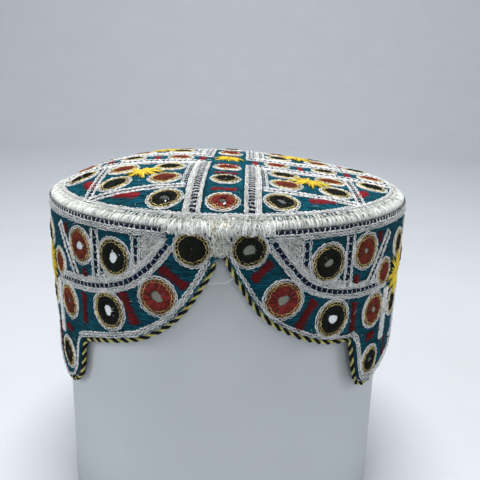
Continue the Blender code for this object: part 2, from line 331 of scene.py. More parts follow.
def cloth_material(name, dark, light):
    """Plain woven cotton: fine crossing yarns with soft stains."""
    material, tree, shader, place = new_material(name, 0.9)
    shader.inputs["Sheen Weight"].default_value = 0.2
    heights = []
    for axis in ("X", "Z"):
        yarns = tree.nodes.new("ShaderNodeTexWave")
        yarns.bands_direction = axis
        yarns.inputs["Scale"].default_value = 420.0
        yarns.inputs["Distortion"].default_value = 1.5
        yarns.inputs["Detail"].default_value = 2.0
        tree.links.new(place, yarns.inputs["Vector"])
        heights.append(yarns.outputs["Fac"])
    tint(tree, shader, noise(tree, place, 60.0, 6.0), dark, light)
    roughen(tree, shader, reckon(tree, "ADD", *heights), 0.4, 0.15)
    return material


def mirror_material(name, dark, light, metallic, haze_low):
    """Thin hand-cut glass: bright, a little clouded and spotted."""
    material, tree, shader, place = new_material(name, 0.12)
    shader.inputs["Metallic"].default_value = metallic
    cloud = noise(tree, place, 500.0, 4.0)
    tint(tree, shader, cloud, dark, light)
    haze = reckon(tree, "MULTIPLY_ADD", cloud, 0.25, haze_low)
    tree.links.new(haze, shader.inputs["Roughness"])
    return material


def card_material(name, dark, light, roughness):
    """Smooth matte sheet with a faint mottle and fibre grain."""
    material, tree, shader, place = new_material(name, roughness)
    tint(tree, shader, noise(tree, place, 14.0, 5.0), dark, light)
    roughen(tree, shader, noise(tree, place, 1500.0), 0.08, 0.05)
    return material


# Name: slot of the record that the thread belongs to, darker shade, lighter shade, sheen
THREADS = {
    "teal": ("teal_cloth", (0, 37, 46), (4, 100, 121), 0.0),
    "white": ("white_yarn", (172, 175, 174), (255, 255, 255), 0.15),
    # A greyer copy of the white yarn: its grey is painted shade on the roll, in the pale satin and in the
    # front's shag.
    "ash": ("white_yarn", (130, 133, 127), (246, 248, 243), 0.1),
    "cream": ("cream_thread", (120, 122, 114), (240, 241, 234), 0.1),
    "gold": ("yellow_thread", (84, 62, 24), (250, 232, 166), 0.05),
    "straw": ("yellow_thread", (96, 92, 44), (216, 210, 134), 0.05),
    "yellow": ("yellow_thread", (178, 140, 24), (255, 234, 92), 0.0),
    "black": ("black_thread", (2, 3, 2), (21, 25, 17), 0.0),
    "red": ("red_thread", (52, 5, 8), (112, 17, 23), 0.0),
    "crimson": ("red_thread", (92, 14, 22), (150, 34, 46), 0.0),
    "brick": ("red_thread", (82, 22, 16), (150, 54, 42), 0.0),
    "russet": ("red_thread", (66, 15, 12), (146, 52, 44), 0.0),
    "rust": ("rust_thread", (58, 19, 12), (132, 56, 38), 0.0),
    "navy": ("black_thread", (4, 4, 18), (21, 20, 64), 0.0),
}
FINISH = {name: thread_material(name + "_thread", *look) for name, (slot, *look) in THREADS.items()}
FINISH["mirror"] = mirror_material("mirror_glass", (176, 181, 180), (222, 226, 225), 1.0, 0.05)
FINISH["clouded"] = mirror_material("clouded_glass", (84, 84, 74), (150, 152, 140), 0.75, 0.3)


def put(name, data):
    """A new object in the scene."""
    thing = bpy.data.objects.new(name, data)
    bpy.context.scene.collection.objects.link(thing)
    return thing


def settle(piece, slot, *nodes):
    """Makes a piece ride on the part and stand for those nodes. The slot is not used."""
    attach(piece, "root")
    if nodes:
        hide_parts(*nodes)


def numbered(rows, columns, closed_up, closed_round):
    """Point numbers of a grid, its first row or column again at the end where it closes on itself."""
    number = np.arange(rows * columns).reshape(rows, columns)
    return np.pad(number, ((0, closed_up), (0, closed_round)), mode="wrap")


def grid_faces(number):
    """Rows of four point numbers, one for each square of a grid."""
    corners = (number[:-1, :-1], number[:-1, 1:], number[1:, 1:], number[1:, :-1])
    return np.stack(corners, -1).reshape(-1, 4)


def smooth_solid(name, points, faces, material):
    """A new object from points in metres and faces as rows of point numbers."""
    mesh = bpy.data.meshes.new(name)
    mesh.from_pydata(points.tolist(), [], faces)
    mesh.validate()
    mesh.materials.append(material)
    mesh.shade_smooth()
    return put(name, mesh)


# Strands


class Threads:
    """Strands of thread laid on a surface. Each is a closed tube that narrows at its ends."""

    def __init__(self, name, surface, *finishes):
        self.name = name
        self.surface = surface
        self.finishes = finishes
        self.points = []
        self.faces = []
        self.shades = []
        self.count = 0

    def add(self, points, faces, finish, shades):
        """Points in the cap's frame, faces as rows of point numbers, a shade for each point."""
        self.points.append(points.reshape(-1, 3))
        self.shades.append(shades.reshape(-1))
        for rows in faces:
            self.faces.append((rows + self.count, self.finishes.index(finish)))
        self.count += points.size // 3

    def tubes(self, centre, normal, finish, width, height, sides=4, ends=0.5):
        """Tubes along rows of centre points. width and height are half sizes."""
        strands, stations = centre.shape[:2]
        taper = np.ones(stations)
        taper[[0, -1]] = ends
        along = unit(np.gradient(centre, axis=1))
        side = unit(np.cross(along, normal))
        up = np.cross(side, along)
        angle = 2 * math.pi * (np.arange(sides) / sides + 0.25)
        wide = (np.broadcast_to(width, (strands, stations)) * taper)[:, :, None, None]
        high = (np.broadcast_to(height, (strands, stations)) * taper)[:, :, None, None]
        ring = (
            centre[:, :, None]
            + side[:, :, None] * wide * np.cos(angle)[:, None]
            + up[:, :, None] * high * np.sin(angle)[:, None]
        )
        number = np.arange(strands * stations * sides).reshape(strands, stations, sides)
        after = np.roll(number, -1, axis=2)
        walls = (number[:, :-1], number[:, 1:], after[:, 1:], after[:, :-1])
        faces = [np.stack(walls, -1).reshape(-1, 4), number[:, 0], number[:, -1, ::-1]]
        shade = np.repeat(rng.random(strands), stations * sides)
        self.add(ring, faces, finish, shade)

    def lay(self, u, v, out, finish, width, height, sides=4, ends=0.5):
        """Tubes laid on the surface. u, v and out hold a row of stations for each strand."""
        u, v, out = np.broadcast_arrays(u, v, out)
        centre = self.surface(u, v, out)
        self.tubes(centre, self.surface(u, v, out + 1.0) - centre, finish, width, height, sides, ends)

    def make(self, *nodes, slot=None):
        """Puts the strands in the scene as one piece, standing for those nodes."""
        mesh = bpy.data.meshes.new(self.name)
        points = to_world(np.concatenate(self.points)).astype(np.float32)
        corners = np.concatenate([rows.ravel() for rows, finish in self.faces])
        sizes = np.concatenate([np.full(len(rows), rows.shape[1]) for rows, finish in self.faces])
        kinds = np.concatenate([np.full(len(rows), finish) for rows, finish in self.faces])
        mesh.vertices.add(len(points))
        mesh.vertices.foreach_set("co", points.ravel())
        mesh.loops.add(len(corners))
        mesh.loops.foreach_set("vertex_index", corners.astype(np.int32))
        mesh.polygons.add(len(sizes))
        mesh.polygons.foreach_set("loop_start", (np.cumsum(sizes) - sizes).astype(np.int32))
        mesh.polygons.foreach_set("material_index", kinds.astype(np.int32))
        mesh.update(calc_edges=True)
        mesh.shade_smooth()
        shades = mesh.attributes.new("strand", "FLOAT", "POINT")
        shades.data.foreach_set("value", np.concatenate(self.shades).astype(np.float32))
        for name in self.finishes:
            mesh.materials.append(FINISH[name])
        settle(put(self.name, mesh), slot or THREADS[self.finishes[0]][0], *nodes)


def jitter(shape, size):
    return rng.uniform(-size, size, shape)


def scatter(count, low, high):
    """So many random places between two corners."""
    return rng.uniform(low[0], high[0], count), rng.uniform(low[1], high[1], count)


def stitch_row(line, spacing):
    """Points along a line, and what gives u and v so far forward and to the left of each start."""
    points = evenly(line, spacing)
    start = points[:-1, :, None]
    forward = unit(np.diff(points, axis=0))[:, :, None]
    left = np.stack((-forward[:, 1], forward[:, 0]), 1)

    def places(reach, across):
        return [start[:, axis] + forward[:, axis] * reach + left[:, axis] * across for axis in (0, 1)]

    return points, places


def fill(threads, finish, inside, low, high, direction=0.0, spacing=0.66, longest=8.0, out=0.3):
    """Flat stitches side by side over a shape. inside(u, v) tells which places are in it."""
    step = 0.35
    overlap = 0.3
    middle = (np.array(low) + high) / 2
    reach = np.linalg.norm(np.array(high) - low) / 2
    across = np.arange(-reach, reach, spacing)
    forward = np.arange(-reach, reach, step)
    turn = math.radians(direction)

    def turned(row, place):
        u = middle[0] + place * math.cos(turn) - row * math.sin(turn)
        v = middle[1] + place * math.sin(turn) + row * math.cos(turn)
        return u, v

    u, v = turned(*np.meshgrid(across, forward, indexing="ij"))
    mask = inside(u, v) & (u >= low[0]) & (u <= high[0]) & (v >= low[1]) & (v <= high[1])
    change = np.diff(np.pad(mask, ((0, 0), (1, 1))).astype(int), axis=1)
    spans = []
    for (line, first), (_, last) in zip(np.argwhere(change == 1), np.argwhere(change == -1)):
        start = forward[first] - step / 2
        end = forward[last - 1] + step / 2
        if end - start < 1.5 * step:
            continue
        cut = start + longest * rng.uniform(0.35, 1.0)
        while cut < end - 0.25 * longest:
            spans.append((across[line], start, cut))
            start = cut - overlap
            cut = start + longest * rng.uniform(0.75, 1.1)
        spans.append((across[line], start, end))
    row, start, end = np.array(spans)[:, :, None].transpose(1, 0, 2)
    place = start + (end - start) * np.array((0.0, 0.5, 1.0))
    spots = turned(row + jitter((len(spans), 3), 0.12), place)
    rise = out + np.array((-0.12, 0.08, -0.12)) + jitter((len(spans), 1), 0.06)
    threads.lay(*spots, rise, finish, 0.6 * spacing, 0.22, sides=3, ends=0.7)


def chain(threads, line, width=1.7, link=2.1, out=0.75, strand=0.25, base=0.14, finish="white"):
    """Chain stitch: links of two bowed strands, each starting inside the one before, none alike."""
    points, places = stitch_row(line, link)
    count = len(points) - 1
    share = np.array((-0.1, 0.28, 0.72, 1.15))
    bow = np.array((0.03, 0.33, 0.31, 0.05)) * width
    rise = np.array((-0.15, 0.1, 0.14, -0.05))
    drift = jitter((count, 1), 0.09 * width)
    for side in (-1, 1):
        reach = link * (share + jitter((count, 1), 0.12)) + jitter((count, 4), 0.08)
        across = side * bow * (1 + jitter((count, 1), 0.3)) + drift + jitter((count, 4), 0.05)
        height = out + rise + jitter((count, 1), 0.12)
        size = strand * (1 + jitter((count, 1), 0.3))
        threads.lay(*places(reach, across), height, finish, size, 0.3, sides=3)
    if base:
        threads.lay(points[None, :, 0], points[None, :, 1], out - 0.42, finish, base * width, 0.2)


def dashes(threads, line, width, length=2.6, gap=0.7, out=0.62):
    """Navy satin blocks with a white tie between them."""
    points, places = stitch_row(line, length + gap)
    count = len(points) - 1
    share = np.array((0.0, 0.5, 1.0))
    rise = np.array((-0.2, 0.1, -0.2))
    size = length * (1 + jitter((count, 1), 0.2))
    slant = jitter((count, 1), 0.35)
    for lane in (-1, 0, 1):
        across = lane * width * 0.31 * (1 + jitter((count, 1), 0.2)) + jitter((count, 3), 0.08)
        reach = gap + size * share + jitter((count, 1), 0.2) + across * slant
        threads.lay(*places(reach, across), out + rise, "navy", width * 0.19, 0.26)
    across = np.array((-0.62, 0.0, 0.62)) * width
    spots = places(gap / 2 + across * slant, across)
    threads.lay(*spots, out + rise + 0.15, "white", 0.2, 0.2, sides=3)


def bordered(white, navy, line, spread, width=1.7, dash=1.6):
    """A dashed navy line between two white chains."""
    dashes(navy, line, width=dash)
    for side in (-1, 1):
        chain(white, beside(line, side * spread), width=width)


def bone(threads, start, end, wide, narrow):
    """A satin bar, broad at its ends and slim between, stitched across."""
    spacing = 0.5
    length = math.dist(start, end)
    places = stitch_row((start, end), length)[1]
    count = max(round(length / spacing), 2)
    share = (np.arange(count) + 0.5) / count
    half = narrow + (wide - narrow) * np.abs(2 * share - 1) ** 1.6
    half *= np.minimum(1.0, np.sqrt(np.minimum(share, 1 - share) * length / 1.6) + 0.25)
    half = half * (1 + jitter(count, 0.1))
    across = half[:, None] * np.array((-1.0, 0.0, 1.0))
    reach = share[:, None] * length + across * 0.15 + jitter((count, 1), 0.12)
    rise = 0.6 + np.array((-0.25, 0.1, -0.25))
    threads.lay(*places(reach, across), rise, threads.finishes[0], 0.34, 0.26)


def strays(threads, finish, u, v, length, out, width, heading=None, spread=math.pi, curl=0.5):
    """Loose fibres standing a little off the cloth from those places."""
    count = len(u)
    middle = rng.uniform(0, 2 * math.pi, count) if heading is None else heading
    angle = middle + rng.uniform(-spread, spread, count) * 0.5
    share = np.linspace(-0.5, 0.5, 5)
    bend = rng.uniform(-curl, curl, count)[:, None] * (share**2 - 0.25)
    reach = (length * rng.uniform(0.5, 1.3, count))[:, None]
    run, drift = reach * share, reach * bend
    across, upward = np.cos(angle)[:, None], np.sin(angle)[:, None]
    rise = out + rng.uniform(0.0, 0.5, count)[:, None] * (1 - (2 * share) ** 2) - 0.15
    u = u[:, None] + run * across - drift * upward
    v = v[:, None] + run * upward + drift * across
    threads.lay(u, v, rise, finish, width, width, sides=3, ends=0.6)


def spokes(u, v, reach, angle):
    """u and v so far from a middle, in the direction of each angle."""
    return u + reach * np.cos(angle), v + reach * np.sin(angle)


def ring_line(u, v, radius, sides=40):
    return np.stack(spokes(u, v, radius, np.linspace(0.0, 2 * math.pi, sides + 1)), -1)


# How far the rounds stand off the cloth
ROUND_LIFT = 0.45
# Shares of a round's radius: the outer end of its stitches, its gold chain and its white chain
ROUND_OUTER = 0.88
ROUND_GOLD = 0.80
ROUND_WHITE = 0.975


def round_stitches(threads, u, v, radius, finish, hole):
    """Radial stitches round a hole, held by a gold chain and a white chain."""
    outer = radius * ROUND_OUTER
    count = round(2 * math.pi * outer / 0.54)
    angle = 2 * math.pi * (np.arange(count) + jitter(count, 0.3)) / count
    turns = rng.uniform(0, 2 * math.pi, 2)
    ragged = 1 + 0.18 * np.cos(2 * angle + turns[0]) + 0.07 * np.cos(3 * angle + turns[1])
    inner = (hole * ragged * (1 + jitter(count, 0.03)))[:, None]
    share = np.array((0.0, 0.4, 1.0))
    reach = inner + (outer * (1 + jitter((count, 1), 0.03)) - inner) * share
    bend = angle[:, None] + jitter((count, 1), 0.3) * (1 - share)
    rise = ROUND_LIFT + np.array((0.7, 0.95, 0.12)) + jitter((count, 1), 0.1)
    width = np.array((0.22, 0.3, 0.4))
    threads.lay(*spokes(u, v, reach, bend), rise, finish, width, 0.26, ends=0.8)
    line, out = ring_line(u, v, radius * ROUND_GOLD), ROUND_LIFT + 0.5
    chain(threads, line, width=1.8, link=1.9, out=out, strand=0.22, base=0, finish="gold")
    chain(threads, ring_line(u, v, radius * ROUND_WHITE), link=2.2, out=ROUND_LIFT + 0.3)


def mirror(threads, u, v, radius, finish):
    """A thin hand-cut piece of glass, a little tipped in its ring."""
    sides = 14
    angle = 2 * math.pi * np.arange(sides) / sides
    cut = radius * (1 + jitter(sides, 0.08))
    reach = cut * np.array((1.0, 1.0, 0.55))[:, None]
    level = np.array((0.0, 0.4, 0.5))[:, None]
    tip_u, tip_v = jitter(2, 0.06)
    right, upward = reach * np.cos(angle), reach * np.sin(angle)
    ring = threads.surface(u + right, v + upward, ROUND_LIFT + level + tip_u * right + tip_v * upward)
    number = numbered(3, sides, 0, 1)
    faces = [grid_faces(number), number[:1, -2::-1], number[2:, :-1]]
    threads.add(ring, faces, finish, np.full(3 * sides, 0.5))


# Share of a round's radius left open, and share that its glass fills
ROUND_OPEN = 0.27
GLASS_SHARE = 0.42


def rosette(node, surface, u, v, radius, finish, clouded=0.0):
    """A mirror in its ring of stitches. clouded is the open share where the glass is dull, else 0."""
    glass = "clouded" if clouded else "mirror"
    threads = Threads(node + "_stitched", surface, finish, "gold", "white", glass)
    mirror(threads, u, v, radius * GLASS_SHARE, glass)
    round_stitches(threads, u, v, radius, finish, radius * (clouded or ROUND_OPEN))
    threads.make(node)


# Band pattern: name, thread, along, height, radius, open share where the glass is clouded
BAND_ROSETTES = (
    ("apex_left", "black", -11.3, -7.2, 7.8, 0.05),
    ("apex_right", "black", 11.4, -7.0, 7.7, 0.30),
    ("scallop_left", "russet", -26.2, -29.0, 8.8, 0.28),
    ("scallop_right", "russet", 26.3, -29.0, 8.8, 0.26),
    ("lower_black_left", "black", -51.2, -40.0, 9.2, 0.0),
    ("lower_black_right", "black", 50.8, -41.0, 9.0, 0.0),
    ("lower_rust_left", "rust", -82.2, -44.0, 8.8, 0.16),
    ("lower_rust_right", "rust", 78.8, -43.5, 8.8, 0.20),
    ("tip_left", "black", -88.5, -73.0, 8.0, 0.18),
    ("tip_right", "black", 80.2, -69.5, 7.4, 0.20),
    ("upper_black_left", "black", -46.7, -15.0, 8.8, 0.0),
    ("upper_black_right", "black", 46.3, -15.0, 8.8, 0.22),
    ("upper_rust_left", "rust", -68.2, -14.0, 8.6, 0.0),
    ("upper_rust_right", "rust", 67.8, -13.0, 8.4, 0.18),
)
# The plain repeat behind: spacing of its rounds, its rows as name, number of rounds and height, how
# far an upright stands beside each round, and the rounds' radius
BACK_SPACING = 46.5
BACK_ROWS = (
    ("upper", 7, -15.0),
    ("lower", 6, -43.0),
)
BACK_BESIDE = 12.6
BACK_RADIUS = 8.8

# Crown pattern. The rim round's two distances are taken both ways in all four corners
CORNERS = ((-1, -1), (-1, 1), (1, -1), (1, 1))
ARMS = {"front": (0, -1), "back": (0, 1), "left": (-1, 0), "right": (1, 0)}
RIM_ROSETTE_AT = (24.5, 71.2)
RIM_ROSETTE_RADIUS = 7.6
ARM_ROSETTES = (
    ("outer", "brick", 75.2, 7.0),
    ("middle", "black", 50.5, 6.6),
    ("inner", "brick", 25.5, 6.6),
)
SQUARE_CENTRE = 38.8
CROWN_LOBES = ((11.3, 10.4), (-11.3, 10.4), (-11.3, -10.4), (11.3, -10.4))
CROWN_LOBE_RADIUS = 7.4
SIDE_MEDALLIONS = (
    ("left", -107.0, -31.5),
    ("right", 102.0, -31.0),
)
SIDE_LOBES = ((0.0, 15.0), (-16.5, 4.5), (0.0, -15.5), (16.5, 4.5))
SIDE_LOBE_RADIUS = 6.9
# Radius left open in a medallion's rounds
LOBE_HOLE = 0.35
# Stars: number of petals, then the reach of their tips and of the gaps between them
STAR_POINTS = 8
CROWN_STAR = (9.6, 3.8)
SIDE_STAR = (11.4, 4.2)
CENTRE_STAR = (8.0, 4.2)
CENTRE_STAR_Y = 4.0


def back_places(count):
    """Where the rounds of a row behind stand along the band."""
    first = (CAP_GIRTH - BACK_SPACING * (count - 1)) / 2
    return [first + BACK_SPACING * index for index in range(count)]


def back_rosettes():
    """Node, thread, along, height, radius of the plain repeat behind."""
    for row, count, height in BACK_ROWS:
        for index, along in enumerate(back_places(count)):
            thread = ("black", "rust")[index % 2]
            yield f"band_rosette_back_{row}_{index + 1}", thread, along, height, BACK_RADIUS


def crown_rosettes():
    """Node, thread, x, y, radius of the crown's rosettes."""
    short, far = RIM_ROSETTE_AT
    spots = [(side * a, end * b) for a, b in ((short, far), (far, short)) for side, end in CORNERS]
    for index, (x, y) in enumerate(spots):
        yield f"crown_rosette_rim_{index + 1}", "black", x, y, RIM_ROSETTE_RADIUS
    for arm, (x, y) in ARMS.items():
        for position, thread, distance, radius in ARM_ROSETTES:
            yield f"crown_rosette_{arm}_{position}", thread, x * distance, y * distance, radius


def star(threads, u, v, radius, waist, lift):
    """Loose straight stitches from the middle, long and short in turn, no two petals alike."""
    count = 112
    angle = 2 * math.pi * (np.arange(count) + jitter(count, 0.5)) / count
    petal = np.round(angle * STAR_POINTS / (2 * math.pi)).astype(int) % STAR_POINTS
    tip = radius * (1 + jitter(STAR_POINTS, 0.12))[petal]
    reach = waist + (tip - waist) * np.abs(np.cos(STAR_POINTS / 2 * angle)) ** 1.9
    reach = reach * (1 + jitter(count, 0.16))
    share = np.array((0.06, 0.4, 0.75, 1.0))
    reach = reach[:, None] * share
    bend = angle[:, None] + jitter((count, 1), 0.16) * share + jitter(STAR_POINTS, 0.1)[petal][:, None]
    rise = lift + np.array((0.95, 0.85, 0.6, 0.15)) + jitter((count, 1), 0.18)
    width = np.array((0.12, 0.2, 0.24, 0.16))
    threads.lay(*spokes(u, v, reach, bend), rise, "yellow", width, 0.22)


def medallion(node, surface, u, v, lobes, lobe_radius, colours, star_size):
    threads = Threads(node + "_stitched", surface, "yellow", "gold", "white", *sorted(set(colours)))
    for (right, up), finish in zip(lobes, colours):
        round_stitches(threads, u + right, v + up, lobe_radius, finish, LOBE_HOLE)
    star(threads, u, v, *star_size, ROUND_LIFT + 0.3)
    threads.make(node)


def make_rosettes():
    for name, thread, along, height, radius, clouded in BAND_ROSETTES:
        rosette("band_rosette_" + name, band_at, along, height, radius, thread, clouded)
    for node, thread, along, height, radius in back_rosettes():
        rosette(node, band_at, along, height, radius, thread)
    for node, thread, x, y, radius in crown_rosettes():
        rosette(node, crown_at, x, y, radius, thread)


def make_medallions():
    for index, (side, end) in enumerate(((-1, -1), (1, -1), (1, 1), (-1, 1))):
        rusty = [(right * side < 0) == (up * end > 0) for right, up in CROWN_LOBES]
        colours = ["rust" if is_rusty else "black" for is_rusty in rusty]
        spot = (side * SQUARE_CENTRE, end * SQUARE_CENTRE)
        node = f"crown_medallion_{index + 1}"
        medallion(node, crown_at, *spot, CROWN_LOBES, CROWN_LOBE_RADIUS, colours, CROWN_STAR)
    for side, along, height in SIDE_MEDALLIONS:
        colours = ("black", "rust", "black", "rust")
        node = "side_medallion_" + side
        medallion(node, band_at, along, height, SIDE_LOBES, SIDE_LOBE_RADIUS, colours, SIDE_STAR)
    threads = Threads("centre_star_stitched", crown_at, "yellow")
    star(threads, 0.0, CENTRE_STAR_Y, *CENTRE_STAR, ROUND_LIFT)
    threads.make("centre_star")


# Lines under the roll, with a gap at the front: height of the dashes and of the chains, and ends
SEAM_DASHES = -0.5
SEAM_CHAINS = (-1.8, -3.2)
SEAM_START = 20.0
SEAM_END = CAP_GIRTH - 23.0
# Arc of the front, middle of its dashed line: along, height
ARC_RIGHT = (
    (20.8, -4.0),
    (28.8, -14.5),
    (37.8, -23.5),
    (48.8, -28.0),
    (62.8, -30.5),
    (76.0, -31.2),
    (90.0, -31.5),
)
ARC_LEFT = (
    (-21.2, -6.0),
    (-30.2, -17.0),
    (-41.2, -25.0),
    (-57.2, -30.0),
    (-77.2, -32.5),
    (-95.2, -34.5),
)
# Chains beside a line, as distances from its middle: of an arc, the hem, a scallop and a column
ARC_CHAINS = (-2.8, -1.6, 1.6, 2.8)
HEM_CHAIN = 2.6
SCALLOP_CHAIN = 3.9
COLUMN_CHAINS = (-2.1, -0.7, 0.7, 2.1)
# Uprights between the seam and the arc: along at the top, height, along at the foot, height, spread
UPRIGHTS = (
    (35.3, -4.5, 35.6, -16.0, 1.6),
    (57.5, -4.5, 57.5, -28.0, 1.9),
    (87.0, -7.0, 72.5, -28.5, 1.7),
)
# The last upright mirrored behind each side medallion: distance from its middle at the top,
# height, distance at the foot, height
MEDALLION_SLANT = (15.0, -7.0, 29.5, -28.5)
# Red bars on the front: along and height of one end and of the other, half widths
BONES = (
    (20.8, -12.5, 13.2, -20.0, 2.8, 1.8),
    (41.0, -31.0, 33.4, -43.5, 3.3, 2.0),
    (63.8, -36.0, 63.8, -50.5, 2.7, 1.7),
    (78.8, -6.0, 78.8, -11.0, 1.6, 2.2),
    (63.8, -23.0, 63.8, -27.5, 2.0, 2.2),
    (75.0, -57.0, 82.5, -57.0, 2.6, 2.0),
    (97.8, -63.0, 97.8, -74.0, 2.4, 1.6),
    (-24.6, -16.5, -13.6, -23.8, 2.8, 1.8),
    (-43.4, -30.0, -37.0, -43.5, 3.3, 2.0),
    (-68.2, -36.0, -68.2, -51.0, 2.7, 1.7),
    (-81.2, -6.5, -81.2, -11.5, 1.6, 2.2),
    (-66.2, -24.0, -66.2, -28.0, 2.0, 2.2),
    (-82.0, -59.0, -90.0, -59.5, 2.4, 1.8),
    (-104.0, -62.0, -104.0, -76.0, 2.4, 1.6),
)
# White columns below each side medallion: along at the top, height, along at the foot, height
WHITE_COLUMNS = (
    (91.3, -36.0, 90.6, -62.0),
    (112.4, -36.0, 113.2, -63.0),
    (-95.6, -37.5, -94.6, -64.0),
    (-118.0, -37.5, -118.2, -64.0),
)
# Stretches of the hem with a second chain above it: start, end
SCALLOPS = (
    (62.0, 110.0),
    (CAP_GIRTH - 72.0, CAP_GIRTH),
)
# Behind: height and ends of the dashed line, height of the hem border above the cord's line, and
# top and foot of the uprights between the rounds of each row
BACK_LINE = -29.0
BACK_START = 119.0
BACK_END = CAP_GIRTH - 124.0
BACK_BORDER = 7.2
BACK_UPRIGHTS = ((-4.5, -26.5), (-32.5, -54.0))


def band_rounds():
    """Centre and radius of every round on the band, along running from 0 to the girth."""
    rounds = [row[2:5] for row in (*BAND_ROSETTES, *back_rosettes())]
    for side, along, height in SIDE_MEDALLIONS:
        rounds += [(along + right, height + up, SIDE_LOBE_RADIUS) for right, up in SIDE_LOBES]
    return [(a % CAP_GIRTH, h, r) for a, h, r in rounds]


def clear_of(u, v, rounds):
    """Places outside the rounds. Stitches run on a little way under their edges."""
    mask = np.ones_like(u, bool)
    for at_u, at_v, radius in rounds:
        mask &= np.hypot(u - at_u, v - at_v) >= radius * 0.93
    return mask


# Pale satin above the arcs: distance from the front, and how far it reaches up from the arc
PALE_REACH = (
    (20.0, 20.0),
    (34.0, 20.0),
    (50.0, 5.5),
    (60.0, 4.0),
    (90.0, 3.4),
)
PALE_START = 19.0
PALE_END = 92.0


def arc_height(along):
    """Height of the front's arcs over a place from -95 to 90 along, low between them."""
    left, right = (np.interp(along, *zip(*points)) for points in (ARC_LEFT[::-1], ARC_RIGHT))
    return np.where(along < 0, left, right)


def straight(start, end):
    return evenly((start, end), 2.0)


def white_corner(along, height):
    """The pale satin between the seam, the arc and the first upright, running on under the black round."""
    over, away = height - arc_height(along), np.abs(along)
    near_arc = (over > 2.4) & (over < np.interp(away, *zip(*PALE_REACH)))
    past_upright = (away > 33.4) & (over > 6.0)
    return near_arc & ~past_upright & (away > PALE_START) & (away < PALE_END) & (height < -3.8)


def make_band_ground():
    threads = Threads("band_ground_stitches", band_at, "teal")
    rounds = band_rounds()

    def inside(along, height):
        signed = np.where(along > CAP_GIRTH / 2, along - CAP_GIRTH, along)
        mask = (height > hem_height(along) + HEM_MARGIN) & ~white_corner(signed, height)
        return mask & clear_of(along, height, rounds)

    fill(threads, "teal", inside, (0.5, -90.0), (CAP_GIRTH - 0.5, -2.0))
    threads.make()


def make_crown_ground():
    threads = Threads("crown_ground_stitches", crown_at, "teal")
    rounds = crown_rounds()

    def inside(x, y):
        mask = (np.hypot(x, y) < CROWN_RADIUS - 1.0) & ~in_white_strips(x, y)
        return mask & clear_of(x, y, rounds)

    fill(threads, "teal", inside, *CROWN_BOX)
    threads.make()


def make_band_lines():
    white = Threads("band_white_stitches", band_at, "white")
    navy = Threads("band_navy_stitches", band_at, "navy", "white")
    red = Threads("band_red_stitches", band_at, "red")
    line = evenly(((SEAM_START, SEAM_DASHES), (SEAM_END, SEAM_DASHES)), 4.0)
    dashes(navy, line, width=1.4, length=2.1, gap=0.45, out=0.55)
    for height in SEAM_CHAINS:
        chain(white, evenly(((SEAM_START - 1.0, height), (SEAM_END + 1.0, height)), 4.0))
    for points in (ARC_RIGHT, ARC_LEFT):
        line = smooth_line(points, 8)
        dashes(navy, line, width=1.4, length=2.3, gap=0.6)
        for distance in ARC_CHAINS:
            chain(white, beside(line, distance), width=1.3)
    for side in (1, -1):
        for top, high, foot, low, spread in UPRIGHTS:
            line = straight((side * top, high), (side * foot, low))
            bordered(white, navy, line, spread=spread, width=1.6, dash=1.3)
    top, high, foot, low = MEDALLION_SLANT
    for name, middle, height in SIDE_MEDALLIONS:
        away = 1 if middle > 0 else -1
        line = straight((middle + away * top, high), (middle + away * foot, low))
        bordered(white, navy, line, spread=1.7, width=1.6, dash=1.3)
    for start_u, start_v, end_u, end_v, wide, narrow in BONES:
        bone(red, (start_u, start_v), (end_u, end_v), wide, narrow)
    make_back_lines(white, navy, red)
    chain(white, beside(HEM, HEM_CHAIN), link=2.3)
    for start, end in SCALLOPS:
        part = HEM[(HEM[:, 0] > start) & (HEM[:, 0] < end)]
        chain(white, beside(part, SCALLOP_CHAIN), width=1.5, link=2.2)
    make_white_fill(white)
    white.make()
    navy.make()
    red.make()


def make_back_lines(white, navy, red):
    """The plain repeat behind: a dashed line, a hem border, uprights beside the rounds, bars between."""
    line = straight((BACK_START, BACK_LINE), (BACK_END, BACK_LINE))
    bordered(white, navy, line, spread=2.4)
    border = HEM[(HEM[:, 0] > BACK_START - 15.0) & (HEM[:, 0] < BACK_END + 15.0)]
    bordered(white, navy, beside(border, BACK_BORDER), spread=2.1)
    uprights = []
    bars = []
    for (row, count, height), (high, low) in zip(BACK_ROWS, BACK_UPRIGHTS):
        rounds = back_places(count)
        uprights += [(along + side * BACK_BESIDE, high, low) for along in rounds for side in (-1, 1)]
        middles = [along + BACK_SPACING / 2 for along in rounds[:-1]]
        if row == "lower":
            outer = (rounds[0] - BACK_SPACING / 2, rounds[-1] + BACK_SPACING / 2)
            uprights += [(outer[0] - BACK_BESIDE, high, low), (outer[1] + BACK_BESIDE, high, low)]
            middles += [outer[0] - BACK_SPACING / 2, outer[0], outer[1], outer[1] + BACK_SPACING / 2]
        bars += [(along, high - 3.0, low + 3.0) for along in middles]
    for along, high, low in uprights:
        line = straight((along, high), (along, low))
        bordered(white, navy, line, spread=1.7, width=1.5, dash=1.2)
    for along, high, low in bars:
        bone(red, (along, high), (along, low), 3.0, 2.0)


